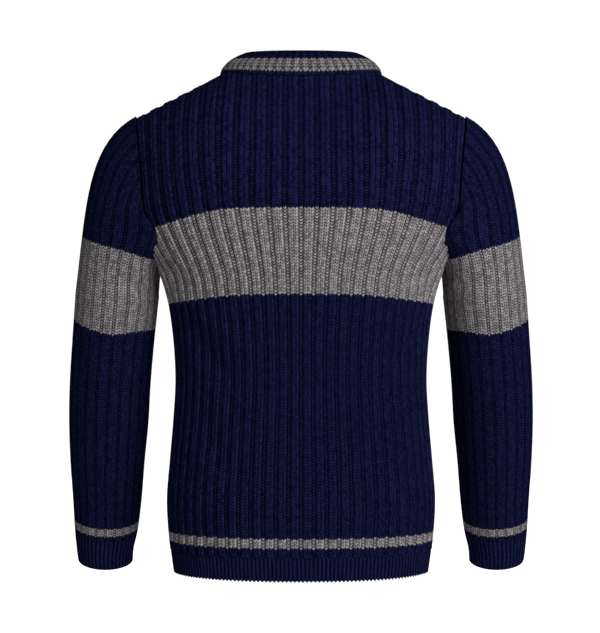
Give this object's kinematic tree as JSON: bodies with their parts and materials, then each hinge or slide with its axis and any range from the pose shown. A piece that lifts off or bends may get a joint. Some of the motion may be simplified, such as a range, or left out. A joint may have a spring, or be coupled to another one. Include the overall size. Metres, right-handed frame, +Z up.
{
  "type": "pullover sweater",
  "caption": "Crew-neck rib-knit pullover sweater, navy with a broad grey marled band across body and sleeves and thin grey stripes at neck, hem and cuffs, filled out as worn.",
  "frame": {"origin": "middle of the neck opening, level with the inner ends of the shoulder seams, where the wearer's shoulders hold it", "axes": "+Z up, front of the garment towards +Y, back towards -Y, the wearer's right side towards +X"},
  "size_m": [0.6558, 0.2842, 0.7153],
  "materials": {
    "wide_rib_knit": "matte wool, wide rib, navy with a marled grey band",
    "fine_rib_knit": "matte wool, fine rib, navy with thin marled grey stripes"
  },
  "bodies": {
    "root": {"back_panel": "wide_rib_knit", "front_panel": "wide_rib_knit", "left_sleeve": "wide_rib_knit", "right_sleeve": "wide_rib_knit", "neckband": "fine_rib_knit", "hem_rib_back": "fine_rib_knit", "hem_rib_front": "fine_rib_knit", "cuff_rib_left": "fine_rib_knit", "cuff_rib_right": "fine_rib_knit"}
  },
  "joints": []
}
